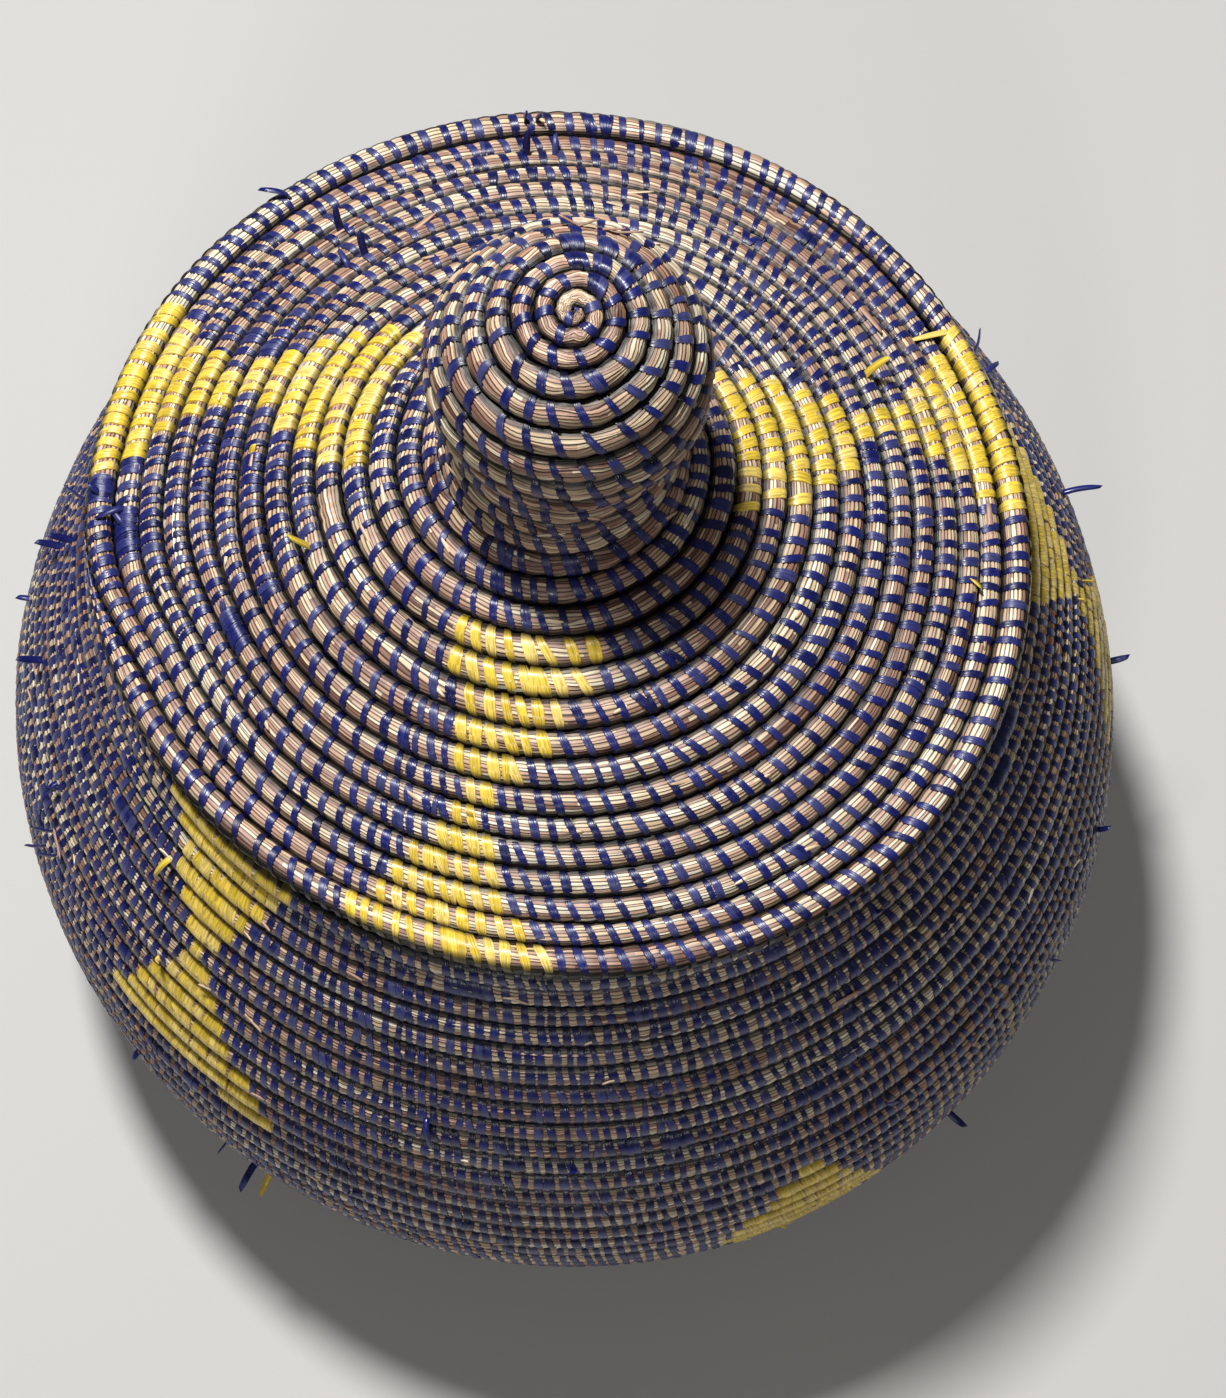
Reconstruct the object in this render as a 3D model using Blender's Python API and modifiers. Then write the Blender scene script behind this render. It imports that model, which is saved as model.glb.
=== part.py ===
# Coiled grass storage basket with a bulging body, a cone lid and a ball knob.
# Metres, +Z up, origin on the floor under the middle of the base.
import math

import bmesh
import bpy

NAME = "woven_storage_basket"

# Wall of the basket, measured on the middle of the coil
BASE_RADIUS = 0.1198
BELLY_RADIUS = 0.1831
BELLY_HEIGHT = 0.1077
MOUTH_RADIUS = 0.138
MOUTH_HEIGHT = 0.2594
HEEL_ANGLE = math.radians(17)
SHOULDER_ANGLE = math.radians(65.6)
WALL_COIL = 0.0094
WALL_THICKNESS = 0.0088
BASE_THICKNESS = 0.0088
FLAT_RADIUS = 0.0235
MOUTH_COIL = 0.0088

# How far each curve's handles reach, as shares of its height
lower_handle_shares = (0.43, 0.474)
upper_handle_shares = (0.343, 0.342)

# Where one band of the wall ends and the next begins, as shares of its rounds
wall_band_shares = (("heel", 0.0, 0.17), ("lower_belly", 0.17, 0.44),
                    ("upper_belly", 0.44, 0.72), ("shoulder", 0.72, 1.0))

# The windings of the wall and the lid: the bearing where a round starts, the share of a level round
# in which it steps on to the next, and how many rounds a winding takes to settle level at its edge
WALL_START = math.radians(205)
LID_START = math.radians(182)
wall_step_share = 0.13
lid_step_share = 0.06
SETTLING_ROUNDS = 6

# Lid, measured on the middle of the coil
LID_COIL = 0.0088
LID_THICKNESS = 0.0084
CONE_ANGLE = math.radians(27)
CONE_TOP_RADIUS = 0.0429
BRIM_ROUNDS = 2
cone_split_share = 0.56
RING_DEPTH = 0.016
RING_THICKNESS = 0.008
RING_CLEARANCE = 0.003

# Knob, measured on its outside, its height from the rim's middle
NECK_RADIUS = 0.0338
NECK_HEIGHT = 0.0682
KNOB_RADIUS = 0.0403
KNOB_HEIGHT = 0.1058
KNOB_FOOT_ANGLE = math.radians(120)
neck_handle_shares = (0.5, 0.5, 0.35, 0.35)
knob_split_share = 0.5

# Spiral at the knob's crown, where the winding starts
CROWN_COIL = 0.0054
CROWN_STRAND = 0.0049
CROWN_ROUNDS = 4
POINTS_PER_ROUND = 22

# Coil surface
GROOVE = 0.0027
shoulder_share = 0.32
snap_share = 0.08
GAP = 0.0003
ROUND_SEGMENTS = 36
KNOB_SEGMENTS = 24
STRAND_SEGMENTS = 8
LINE_STEPS = 60

# Loose ends of the plastic strip: the name, where it starts as a share of its line, which way
# it points round the axis, how far its tip turns aside, and how far it rises, in degrees
STRIP_WIDTH = 0.0028
STRIP_THICKNESS = 0.0005
STRIP_LENGTH = 0.015
STRIP_STANDOFF = 0.0005
STRIP_POINTS = 6
wall_blue_end_shares = (("right", 0.47, 3.5, 55, 10), ("left_upper", 0.9, 176, 60, 25),
                        ("left_middle", 0.84, 179, -50, 5), ("left_lower", 0.78, 183, 40, 35),
                        ("front_left", 0.4, 232, 70, 0), ("front_right", 0.36, -47, -60, -5))
wall_yellow_end_shares = (("left", 0.3, -127, 65, -10), ("front", 0.22, -70, -60, 5))
lid_blue_end_shares = (("back", 0.02, 94, 15, -5), ("back_left", 0.1, 129, 50, -20),
                       ("inner_left", 0.36, 125, 60, -35))
lid_yellow_end_shares = (("right", 0.33, 20, -60, -30), ("left", 0.62, 190, 60, -30))

# Surface colours, red green blue and alpha in linear light
GRASS = (0.52, 0.36, 0.17, 1.0)
BLUE = (0.013, 0.022, 0.22, 1.0)
YELLOW = (0.80, 0.55, 0.025, 1.0)


def clear_scene():
    for item in list(bpy.data.objects):
        bpy.data.objects.remove(item, do_unlink=True)


def new_collection():
    collection = bpy.data.collections.new(NAME)
    bpy.context.scene.collection.children.link(collection)
    return collection


def surface(name, colour, roughness):
    """A plain Principled material."""
    material = bpy.data.materials.new(name)
    material.use_nodes = True
    shader = material.node_tree.nodes["Principled BSDF"]
    shader.inputs["Base Color"].default_value = colour
    shader.inputs["Roughness"].default_value = roughness
    shader.inputs["Metallic"].default_value = 0.0
    return material


def add(name, data, material, collection, parent=None):
    """An object in the basket's collection, smooth over its ridges."""
    item = bpy.data.objects.new(name, data)
    data.materials.append(material)
    collection.objects.link(item)
    item.parent = parent
    return item


# A line is a list of (radius, height) points that runs upwards, with the outside on its right.

def bezier(start, handle, second, end):
    """Points of a cubic curve."""
    points = []
    for step in range(LINE_STEPS + 1):
        t = step / LINE_STEPS
        weights = ((1 - t) ** 3, 3 * t * (1 - t) ** 2, 3 * t * t * (1 - t), t ** 3)
        corners = (start, handle, second, end)
        points.append(tuple(sum(w * c[k] for w, c in zip(weights, corners)) for k in (0, 1)))
    return points


def length_of(line):
    return sum(math.dist(a, b) for a, b in zip(line, line[1:]))


def beside(line, distance, offset):
    """The point that lies offset outwards from the line, distance along it."""
    walked = 0.0
    last = len(line) - 2
    for index, (a, b) in enumerate(zip(line, line[1:])):
        piece = math.dist(a, b)
        if walked + piece >= distance or index == last:
            share = (distance - walked) / piece
            along = ((b[0] - a[0]) / piece, (b[1] - a[1]) / piece)
            radius = a[0] + share * (b[0] - a[0]) + offset * along[1]
            height = a[1] + share * (b[1] - a[1]) - offset * along[0]
            return radius, height
        walked += piece


def lid_seat():
    """Height of the middle of the rim coil, which lies on the mouth coil."""
    return MOUTH_HEIGHT + (MOUTH_COIL + LID_COIL) / 2


def wall_line():
    """Middle of the wall from the base's edge out to the belly and in to the mouth."""
    base = (BASE_RADIUS, WALL_THICKNESS / 2)
    belly = (BELLY_RADIUS, BELLY_HEIGHT)
    top = (MOUTH_RADIUS, MOUTH_HEIGHT - MOUTH_COIL / 2 - GAP)
    low_reach = [share * (belly[1] - base[1]) for share in lower_handle_shares]
    high_reach = [share * (top[1] - belly[1]) for share in upper_handle_shares]
    heel = (base[0] + low_reach[0] * math.cos(HEEL_ANGLE), base[1] + low_reach[0] * math.sin(HEEL_ANGLE))
    below = (belly[0], belly[1] - low_reach[1])
    above = (belly[0], belly[1] + high_reach[0])
    shoulder = (top[0] + high_reach[1] * math.cos(SHOULDER_ANGLE),
                top[1] - high_reach[1] * math.sin(SHOULDER_ANGLE))
    return bezier(base, heel, below, belly) + bezier(belly, above, shoulder, top)[1:]


def brim_middle():
    """Middle of the second round of the brim, from the rim's middle."""
    return MOUTH_RADIUS - LID_COIL, 0.0


def cone_line():
    """Middle of the cone from the brim up to the neck."""
    radius, height = brim_middle()
    start = (radius - LID_COIL / 2 * math.cos(CONE_ANGLE), height + LID_COIL / 2 * math.sin(CONE_ANGLE))
    rise = (start[0] - CONE_TOP_RADIUS) * math.tan(CONE_ANGLE)
    return [start, (CONE_TOP_RADIUS, start[1] + rise)]


def ball_point(angle, offset):
    """A point of the ball at an angle from its pole, offset outwards from the coil's middle."""
    radius = KNOB_RADIUS - LID_THICKNESS / 2 + offset
    return radius * math.sin(angle), KNOB_HEIGHT + radius * math.cos(angle)


def neck_line():
    """Middle of the neck, from the cone in to its waist and out to the ball."""
    foot = cone_line()[1]
    waist = (NECK_RADIUS - LID_THICKNESS / 2, NECK_HEIGHT)
    head = ball_point(KNOB_FOOT_ANGLE, 0.0)
    lower = waist[1] - foot[1]
    upper = head[1] - waist[1]
    reach = [share * size for share, size in zip(neck_handle_shares, (lower, lower, upper, upper))]
    first = (foot[0] - reach[0] * math.cos(CONE_ANGLE), foot[1] + reach[0] * math.sin(CONE_ANGLE))
    second = (waist[0], waist[1] - reach[1])
    third = (waist[0], waist[1] + reach[2])
    fourth = (head[0] + reach[3] * math.cos(KNOB_FOOT_ANGLE), head[1] - reach[3] * math.sin(KNOB_FOOT_ANGLE))
    return bezier(foot, first, second, waist) + bezier(waist, third, fourth, head)[1:]


def crown_edge_angle():
    """Angle from the pole where the ball's thick rounds stop and the crown's spiral lies."""
    reach = CROWN_ROUNDS * CROWN_COIL + CROWN_STRAND / 2 + GAP
    return reach / (KNOB_RADIUS - CROWN_STRAND / 2)


def ball_line():
    """Middle of the ball from the neck up to the crown."""
    edge = crown_edge_angle()
    angles = [KNOB_FOOT_ANGLE + (edge - KNOB_FOOT_ANGLE) * step / LINE_STEPS for step in range(LINE_STEPS + 1)]
    return [ball_point(angle, 0.0) for angle in angles]


def lid_line():
    """Middle of the lid from the brim over the cone, the neck and the ball up to the crown."""
    return cone_line() + neck_line()[1:] + ball_line()[1:]


def ridged_outline(line, start, end, coil, thickness):
    """Section of a band of rounds: a ridge for each outside, plain inside."""
    rounds = max(1, round((end - start) / coil))
    step = (end - start) / rounds
    crest = thickness / 2
    valley = crest - GROOVE
    low = start + GAP / 2
    high = end - GAP / 2
    outer = [beside(line, low, valley)]
    for index in range(rounds):
        outer.append(beside(line, start + (index + 1 / 2) * step, crest))
        outer.append(beside(line, min(start + (index + 1) * step, high), valley))
    inner = [beside(line, low, -valley)]
    for index in range(2, rounds - 1, 2):
        inner.append(beside(line, start + index * step, -crest))
    inner.append(beside(line, high, -valley))
    return outer[::-1] + inner


def turned(name, outline, segments, material, collection, parent=None):
    """A closed section turned round the axis."""
    mesh = bpy.data.meshes.new(name)
    count = len(outline)
    edges = [(index, (index + 1) % count) for index in range(count)]
    mesh.from_pydata([(radius, 0, height) for radius, height in outline], edges, [])
    item = add(name, mesh, material, collection, parent)
    screw = item.modifiers.new("Turn", 'SCREW')
    screw.steps = segments
    screw.render_steps = segments
    screw.use_merge_vertices = True
    screw.merge_threshold = GAP / 10
    screw.use_smooth_shade = True
    return item


def ring(name, radius, height, strand, segments, material, collection, parent=None):
    """One round of coil as a torus."""
    bpy.ops.mesh.primitive_torus_add(major_radius=radius, minor_radius=strand / 2,
                                     major_segments=segments, minor_segments=STRAND_SEGMENTS)
    item = bpy.context.object
    item.name = name
    item.data.name = name
    item.data.materials.append(material)
    item.data.shade_smooth()
    for holder in list(item.users_collection):
        holder.objects.unlink(item)
    collection.objects.link(item)
    item.parent = parent
    item.location = (0, 0, height)
    return item


class Winding:
    """A coil wound in rounds from its start to a level last edge. Distances are taken along a line
    that the coil climbs or, on the lid, comes down."""

    def __init__(self, start, rounds, coil, step_share, origin, climbs):
        self.start = start
        self.rounds = rounds
        self.coil = coil
        self.step_share = step_share
        self.origin = origin
        self.climbs = climbs

    def edge(self, turns):
        """How far a round's far edge has come after so many turns of the winding."""
        whole = min(int(turns), self.rounds - 1)
        part = turns - whole
        steep = min(max((part - 1 + self.step_share) / self.step_share, 0.0), 1.0)
        steep = steep * steep * (3 - 2 * steep)
        settled = min(max((whole + 1 - self.rounds + SETTLING_ROUNDS) / SETTLING_ROUNDS, 0.0), 1.0)
        return (whole + (1 - settled) * part + settled * steep) * self.coil

    def risen(self, bearing):
        """Share of a round that the edges have risen by at a bearing."""
        return (bearing - self.start) / math.tau % 1.0

    def edges(self, bearing, low, high):
        """Distances of the edges between rounds at a bearing, from below low to above high."""
        risen = self.risen(bearing)
        if self.climbs:
            first = int((self.origin + low) / self.coil) - 2
            last = int((self.origin + high) / self.coil) + 2
            return [self.edge(whole + risen) - self.origin for whole in range(first, last + 1)]
        first = int((self.origin - low) / self.coil) + 3
        last = int((self.origin - high) / self.coil) - 1
        return [self.origin - self.edge(whole - risen) for whole in range(first, last - 1, -1)]

    def rows(self, bearing, low, high):
        """For each round at a bearing, the distances of its lower edge and its two shoulders."""
        edges = self.edges(bearing, low, high)
        rows = []
        for start, end in zip(edges, edges[1:]):
            rows.append(start)
            rows.append(start + shoulder_share * (end - start))
            rows.append(end - shoulder_share * (end - start))
        return rows

    def crest(self, place, bearing):
        """Distance of the crest that is nearest to a place, at a bearing."""
        rows = self.rows(bearing, place, place)
        crests = [(low + high) / 2 for low, high in zip(rows[1::3], rows[2::3])]
        return min(crests, key=lambda crest: abs(crest - place))


def wall_winding(origin=BASE_RADIUS):
    """The coil that climbs from the base's middle to the mouth's top. Its distances start where it
    has come this far: at the wall's foot or, for the base, at the middle."""
    whole = BASE_RADIUS + length_of(wall_line()) + MOUTH_COIL + GAP / 2
    rounds = round(whole / WALL_COIL)
    return Winding(WALL_START, rounds, whole / rounds, wall_step_share, origin, True)


def lid_winding():
    """The coil that comes down from the crown over the ball, the neck and the cone to the rim."""
    whole = length_of(lid_line())
    rounds = round(whole / LID_COIL)
    coil = whole / rounds
    total = CROWN_ROUNDS + rounds + BRIM_ROUNDS
    return Winding(LID_START, total, coil, lid_step_share, (total - BRIM_ROUNDS) * coil, False)


def ridge_share(distance, rows):
    """How high the surface stands at a distance: 0 at a round's edges, 1 between its shoulders."""
    for index, (low, high) in enumerate(zip(rows, rows[1:])):
        if low <= distance <= high and high > low:
            part = (distance - low) / (high - low)
            return (part, 1.0, 1.0 - part)[index % 3]
    return 0.0


def wound_column(line, winding, bearing, low, high, thickness):
    """Points up the outside of a band at one bearing, those past its ends held at the ends."""
    rows = winding.rows(bearing, low, high)
    snap = snap_share * winding.coil
    column = []
    for distance in rows:
        if distance < low + snap:
            distance = low
        elif distance > high - snap:
            distance = high
        offset = thickness / 2 - GROOVE * (1 - ridge_share(distance, rows))
        column.append((distance, beside(line, distance, offset)))
    return column


def wound_band(name, line, winding, start, end, thickness, segments, material, collection, parent=None):
    """A band of rounds whose ridges wind up round it, plain inside."""
    low = start + GAP / 2
    high = end - GAP / 2
    rounds = max(1, round((end - start) / winding.coil))
    bow = [start + index * (end - start) / rounds for index in range(rounds - 2, 1, -3)]
    plain = [beside(line, high, GROOVE - thickness / 2)]
    plain += [beside(line, distance, -thickness / 2) for distance in bow]
    plain.append(beside(line, low, GROOVE - thickness / 2))
    points = []
    columns = []
    for index in range(segments):
        bearing = math.tau * index / segments
        column = []
        last = None
        for distance, (radius, height) in wound_column(line, winding, bearing, low, high, thickness):
            if distance != last:
                points.append((radius * math.cos(bearing), radius * math.sin(bearing), height))
            column.append(len(points) - 1)
            last = distance
        inside = range(len(points), len(points) + len(plain))
        points += [(radius * math.cos(bearing), radius * math.sin(bearing), height) for radius, height in plain]
        columns.append((column, list(inside)))
    wound_shell(name, points, columns, winding, material, collection, parent)


def wound_shell(name, points, columns, winding, material, collection, parent=None):
    """The closed surface over the columns of a wound piece."""
    mesh = bpy.data.meshes.new(name)
    mesh.from_pydata(points, [], wound_faces(columns, winding))
    mesh.validate()
    shell = bmesh.new()
    shell.from_mesh(mesh)
    bmesh.ops.recalc_face_normals(shell, faces=shell.faces)
    shell.to_mesh(mesh)
    shell.free()
    mesh.shade_smooth()
    add(name, mesh, material, collection, parent)


def wound_faces(columns, winding):
    """Triangles round a band, whose rows move up by one round where the winding starts anew."""
    faces = []
    for index, (column, plain) in enumerate(columns):
        after = (index + 1) % len(columns)
        risen = [winding.risen(math.tau * place / len(columns)) for place in (index, after)]
        shift = 3 if risen[1] < risen[0] else 0
        outer = columns[after][0]
        top = len(column) - 1
        moved = [outer[min(row + shift, top)] for row in range(top + 1)]
        here = column + plain + column[:1]
        there = moved + columns[after][1] + outer[:1]
        for row in range(len(here) - 1):
            for face in ((here[row], there[row], there[row + 1]), (here[row], there[row + 1], here[row + 1])):
                if len(set(face)) == 3:
                    faces.append(face)
    return faces


def base_disc(material, collection):
    """Spiral base whose rounds show underneath round a flat middle, plain inside the basket."""
    line = [(0, BASE_THICKNESS / 2), (BASE_RADIUS, BASE_THICKNESS / 2)]
    winding = wall_winding(0)
    lean = math.tan(HEEL_ANGLE)
    edge = BASE_RADIUS - BASE_THICKNESS / 2 * lean - GAP / 2
    points = [(0, 0, 0), (0, 0, BASE_THICKNESS)]
    columns = []
    for index in range(ROUND_SEGMENTS):
        bearing = math.tau * index / ROUND_SEGMENTS
        places = wound_column(line, winding, bearing, FLAT_RADIUS, BASE_RADIUS, BASE_THICKNESS)
        column = [0]
        last = None
        for distance, (radius, height) in places:
            if distance == FLAT_RADIUS:
                height = 0
            if distance == BASE_RADIUS:
                radius += (BASE_THICKNESS / 2 - height) * lean - GAP / 2
            if distance != last:
                points.append((radius * math.cos(bearing), radius * math.sin(bearing), height))
            column.append(len(points) - 1)
            last = distance
        points.append((edge * math.cos(bearing), edge * math.sin(bearing), BASE_THICKNESS))
        columns.append((column, [len(points) - 1, 1]))
    wound_shell("base_disc", points, columns, winding, material, collection)


def wall(material, collection):
    """The wall in bands of one winding."""
    line = wall_line()
    whole = length_of(line)
    rounds = max(len(wall_band_shares), round(whole / WALL_COIL))
    coil = whole / rounds
    for name, first, last in wall_band_shares:
        start = round(first * rounds) * coil
        end = round(last * rounds) * coil
        wound_band(name, line, wall_winding(), start, end, WALL_THICKNESS, ROUND_SEGMENTS, material, collection)


def mouth_coil(material, collection):
    ring("mouth_coil", MOUTH_RADIUS, MOUTH_HEIGHT, MOUTH_COIL - GAP, ROUND_SEGMENTS, material, collection)


def brim(material, collection, lid):
    """The two nearly flat rounds at the lid's edge."""
    radius, height = brim_middle()
    strand = LID_COIL - GAP
    ring("rim_coil", radius + LID_COIL, height, strand, ROUND_SEGMENTS, material, collection, lid)
    ring("brim_coil", radius, height, strand, ROUND_SEGMENTS, material, collection, lid)


def lid_rounds(material, collection, lid):
    """The cone, the neck and the ball in bands of one winding."""
    line = lid_line()
    winding = lid_winding()
    top = length_of(cone_line())
    foot = top + length_of(neck_line())
    whole = length_of(line)
    cone_split = round(cone_split_share * top / winding.coil) * winding.coil
    knob_split = foot + round(knob_split_share * (whole - foot) / winding.coil) * winding.coil
    bands = (("lower_cone", 0.0, cone_split, ROUND_SEGMENTS), ("upper_cone", cone_split, top, ROUND_SEGMENTS),
             ("neck", top, foot, KNOB_SEGMENTS), ("knob_lower", foot, knob_split, KNOB_SEGMENTS),
             ("knob_upper", knob_split, whole, KNOB_SEGMENTS))
    for name, start, end, segments in bands:
        wound_band(name, line, winding, start, end, LID_THICKNESS, segments, material, collection, lid)


def locating_ring(material, collection, lid):
    """Short collar under the brim that keeps the lid over the mouth."""
    radius = MOUTH_RADIUS - MOUTH_COIL / 2 - RING_CLEARANCE - RING_THICKNESS / 2
    top = -LID_COIL / 2
    line = [(radius, top - RING_DEPTH), (radius, top)]
    outline = ridged_outline(line, 0.0, RING_DEPTH, LID_COIL, RING_THICKNESS)
    turned("locating_ring", outline, ROUND_SEGMENTS, material, collection, lid)


def crown_points():
    """Middle of the crown's strand, wound out from the pole over the ball."""
    drop = (LID_THICKNESS - CROWN_STRAND) / 2
    ball = KNOB_RADIUS - CROWN_STRAND / 2
    points = []
    for step in range(POINTS_PER_ROUND // 2, CROWN_ROUNDS * POINTS_PER_ROUND + 1):
        rounds = step / POINTS_PER_ROUND
        angle = rounds * CROWN_COIL / ball
        radius, height = ball_point(angle, drop)
        turn = math.tau * rounds
        points.append((radius * math.cos(turn), radius * math.sin(turn), height))
    return points


def least_gap(points, strand):
    """Smallest space between one round of the spiral and the next."""
    least = math.inf
    for index, a in enumerate(points):
        for b in points[index + POINTS_PER_ROUND // 2:]:
            least = min(least, math.dist(a, b) - strand)
    return least


def knob_crown(material, collection, lid):
    """The spiral of thinner rounds that the whole lid starts from, as one strand."""
    points = crown_points()
    curve = bpy.data.curves.new("knob_crown", 'CURVE')
    curve.dimensions = '3D'
    curve.bevel_depth = CROWN_STRAND / 2
    curve.bevel_resolution = 1
    curve.render_resolution_u = 0
    curve.use_fill_caps = True
    spline = curve.splines.new('POLY')
    spline.points.add(len(points) - 1)
    for point, place in zip(spline.points, points):
        point.co = (*place, 1)
    spline.use_smooth = True
    add("knob_crown", curve, material, collection, lid)
    print("least gap between the crown's rounds, mm:", round(least_gap(points, CROWN_STRAND) * 1000, 2))


def strip_points(line, winding, thickness, share, bearing, aside, rise):
    """A loose end that leaves a round's crest square to it, in the middle of a flat, and bends."""
    flat = math.tau / ROUND_SEGMENTS
    bearing, aside, rise = (math.radians(value) for value in (bearing, aside, rise))
    bearing = (math.floor(bearing / flat) + 1 / 2) * flat
    distance = winding.crest(share * length_of(line), bearing)
    crest = beside(line, distance, thickness / 2)
    radius, height = beside(line, distance, thickness / 2 + STRIP_STANDOFF)
    tilt = math.atan2(height - crest[1], radius - crest[0])
    radius *= math.cos(flat / 2)
    place = [radius * math.cos(bearing), radius * math.sin(bearing), height]
    step = STRIP_LENGTH / (STRIP_POINTS - 1)
    points = [tuple(place)]
    for index in range(STRIP_POINTS - 1):
        turn = bearing + aside * index / (STRIP_POINTS - 1)
        lift = tilt + rise * index / (STRIP_POINTS - 1)
        place[0] += step * math.cos(turn) * math.cos(lift)
        place[1] += step * math.sin(turn) * math.cos(lift)
        place[2] += step * math.sin(lift)
        points.append(tuple(place))
    return points


def strip_ends(kind, line, winding, thickness, shares, material, collection, parent=None):
    """Loose strip ends, each a flat ribbon of its own."""
    for name, *place in shares:
        curve = bpy.data.curves.new(f"{kind}_{name}", 'CURVE')
        curve.dimensions = '3D'
        curve.extrude = (STRIP_WIDTH - STRIP_THICKNESS) / 2
        curve.bevel_depth = STRIP_THICKNESS / 2
        curve.bevel_resolution = 0
        curve.render_resolution_u = 0
        curve.use_fill_caps = True
        points = strip_points(line, winding, thickness, *place)
        spline = curve.splines.new('POLY')
        spline.points.add(len(points) - 1)
        for point, corner in zip(spline.points, points):
            point.co = (*corner, 1)
        add(f"{kind}_{name}", curve, material, collection, parent)


def main():
    clear_scene()
    collection = new_collection()
    grass = surface("grass_coil", GRASS, 0.7)
    blue = surface("blue_strip", BLUE, 0.35)
    yellow = surface("yellow_strip", YELLOW, 0.4)
    lid = bpy.data.objects.new("lid", None)
    lid.location = (0, 0, lid_seat())
    collection.objects.link(lid)

    base_disc(grass, collection)
    wall(grass, collection)
    mouth_coil(grass, collection)
    for kind, shares, material in (("wall_blue_end", wall_blue_end_shares, blue),
                                   ("wall_yellow_end", wall_yellow_end_shares, yellow)):
        strip_ends(kind, wall_line(), wall_winding(), WALL_THICKNESS, shares, material, collection)

    brim(grass, collection, lid)
    lid_rounds(grass, collection, lid)
    locating_ring(grass, collection, lid)
    knob_crown(grass, collection, lid)
    for kind, shares, material in (("lid_blue_end", lid_blue_end_shares, blue),
                                   ("lid_yellow_end", lid_yellow_end_shares, yellow)):
        strip_ends(kind, cone_line(), lid_winding(), LID_THICKNESS, shares, material, collection, lid)


main()
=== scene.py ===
# Looks of a lidded basket of coiled grass: one long bundle wound for the body and one for the lid,
# each bound with flat plastic strip, blue with yellow motifs.
import functools
import math

import bpy
import numpy as np
from bpy.props import FloatProperty, FloatVectorProperty, IntProperty, PointerProperty
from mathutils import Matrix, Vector


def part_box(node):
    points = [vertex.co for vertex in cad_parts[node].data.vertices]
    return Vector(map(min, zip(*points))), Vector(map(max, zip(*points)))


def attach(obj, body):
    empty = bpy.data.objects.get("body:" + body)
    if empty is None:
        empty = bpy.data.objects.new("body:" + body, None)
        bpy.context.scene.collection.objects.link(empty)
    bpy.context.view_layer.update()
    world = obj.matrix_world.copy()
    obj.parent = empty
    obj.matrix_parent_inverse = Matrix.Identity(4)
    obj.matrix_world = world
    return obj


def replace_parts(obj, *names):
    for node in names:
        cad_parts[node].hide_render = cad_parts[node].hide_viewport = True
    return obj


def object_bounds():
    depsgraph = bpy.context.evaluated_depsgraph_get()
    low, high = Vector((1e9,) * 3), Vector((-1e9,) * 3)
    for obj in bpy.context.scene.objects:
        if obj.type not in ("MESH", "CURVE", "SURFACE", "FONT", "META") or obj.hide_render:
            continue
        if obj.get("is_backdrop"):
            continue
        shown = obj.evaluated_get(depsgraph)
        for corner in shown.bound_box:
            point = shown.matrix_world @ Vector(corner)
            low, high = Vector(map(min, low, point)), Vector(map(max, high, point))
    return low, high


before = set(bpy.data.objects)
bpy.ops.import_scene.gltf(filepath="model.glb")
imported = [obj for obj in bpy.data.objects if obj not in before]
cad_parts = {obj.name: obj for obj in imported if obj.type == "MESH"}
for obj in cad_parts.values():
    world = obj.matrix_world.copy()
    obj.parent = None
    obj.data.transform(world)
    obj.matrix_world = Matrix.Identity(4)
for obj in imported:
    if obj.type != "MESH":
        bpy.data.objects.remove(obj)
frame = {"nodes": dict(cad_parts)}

bl_info = {
    "name": "Coiled Grass Basket",
    "version": (1, 0, 0),
    "blender": (4, 5, 0),
    "location": "3D View > Sidebar > Basket",
    "description": "Weaves a coiled grass basket with a lid, stitch by stitch, round its CAD solids",
    "category": "Add Mesh",
}

TAU = math.tau
MOST_TRIANGLES = 190000

# Sampling, and the least radius that a round is worked out with
LINE_STEP = 0.0005
EDGES_PER_ROUND = 96
SECTIONS_PER_ROUND = 36
LEAST_RADIUS = 0.002

# Curves that the solids have too
HEEL_ANGLE = math.radians(17)
SHOULDER_ANGLE = math.radians(65.6)
BELLY_HEIGHT = 0.1077
LOWER_HANDLE_SHARES = (0.43, 0.474)
UPPER_HANDLE_SHARES = (0.343, 0.342)
CONE_ANGLE = math.radians(27)
CONE_TOP_RADIUS = 0.0429
NECK_WAIST_RADIUS = 0.0338
NECK_WAIST_HEIGHT = 0.0682
KNOB_CENTRE_HEIGHT = 0.1058
COLLAR_THICKNESS = 0.0058
KNOB_FOOT_ANGLE = math.radians(120)
NECK_HANDLE_SHARES = (0.5, 0.5, 0.35, 0.35)

# How far the body and the lid are out of round, as shares of the rim's radius for the sine of twice
# the bearing, and the cosine and sine of three times it
BODY_OVAL_SHARES = (-0.0047, -0.0039, 0.0041)
LID_OVAL_SHARES = (-0.0204, -0.0071, -0.0024)
KNOB_LEAN = 0.0059
KNOB_TILT = math.radians(6.5)

# Where each band of rounds begins, in rounds back from the end of the winding
BODY_BANDS = (("base_disc", 99), ("heel", 31.5), ("lower_belly", 26.5), ("upper_belly", 18.5),
              ("shoulder", 9.5), ("mouth_coil", 1))
LID_BANDS = (("knob_crown", 99), ("knob_upper", 24.5), ("knob_lower", 21.5), ("neck", 18.5),
             ("upper_cone", 13), ("lower_cone", 8.5), ("brim_coil", 2), ("rim_coil", 1))
COLLAR_BANDS = (("locating_ring", 99),)

# Bearings at which the two windings start
BODY_START = math.radians(205)
LID_START = math.radians(182)

# How wide the crown's rounds are beside each other, from the middle out
CROWN_PITCH_SHARES = (0.9, 1, 1.1, 1.4)

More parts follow.
